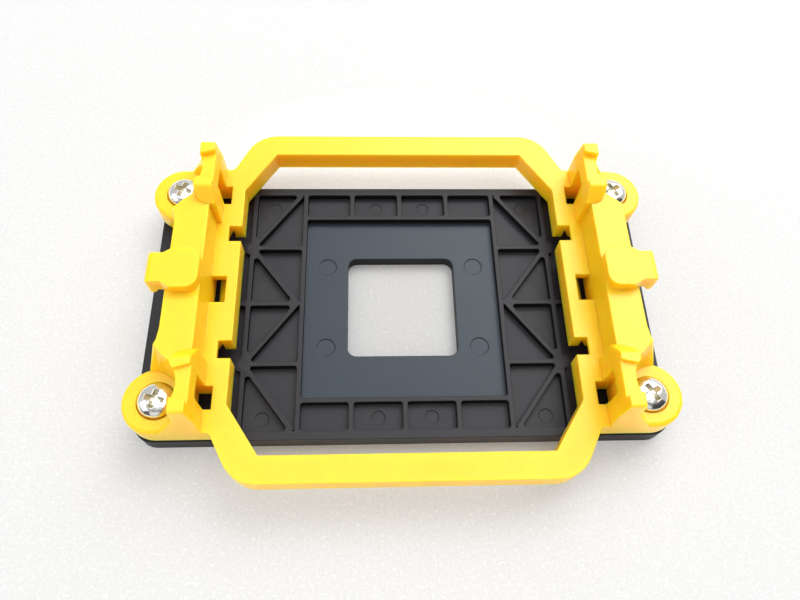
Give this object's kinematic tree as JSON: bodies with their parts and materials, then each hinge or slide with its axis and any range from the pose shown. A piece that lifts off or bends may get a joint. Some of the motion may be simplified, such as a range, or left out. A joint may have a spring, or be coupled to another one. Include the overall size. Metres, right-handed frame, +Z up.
{
  "type": "cpu cooler mounting bracket",
  "caption": "Rectangular cooler retention frame with clip lugs on two raised rails, screwed over a ribbed backplate.",
  "frame": {"origin": "under the middle of the backplate, on the surface that it lies on", "axes": "+X to the right across the two clip rails, +Y to the back along the rails, +Z up"},
  "size_m": [0.1094, 0.0802, 0.022],
  "materials": {
    "frame_plastic": "semi-gloss moulded nylon, bright yellow",
    "plate_plastic": "satin black glass-filled moulding",
    "screw_steel": "bright nickel-plated steel",
    "insert_brass": "turned brass"
  },
  "bodies": {
    "root": {"retention_frame": "frame_plastic", "backplate": "plate_plastic", "screw_front_left": "screw_steel", "screw_front_right": "screw_steel", "screw_back_left": "screw_steel", "screw_back_right": "screw_steel", "insert_front_left": "insert_brass", "insert_front_right": "insert_brass", "insert_back_left": "insert_brass", "insert_back_right": "insert_brass"}
  },
  "joints": []
}
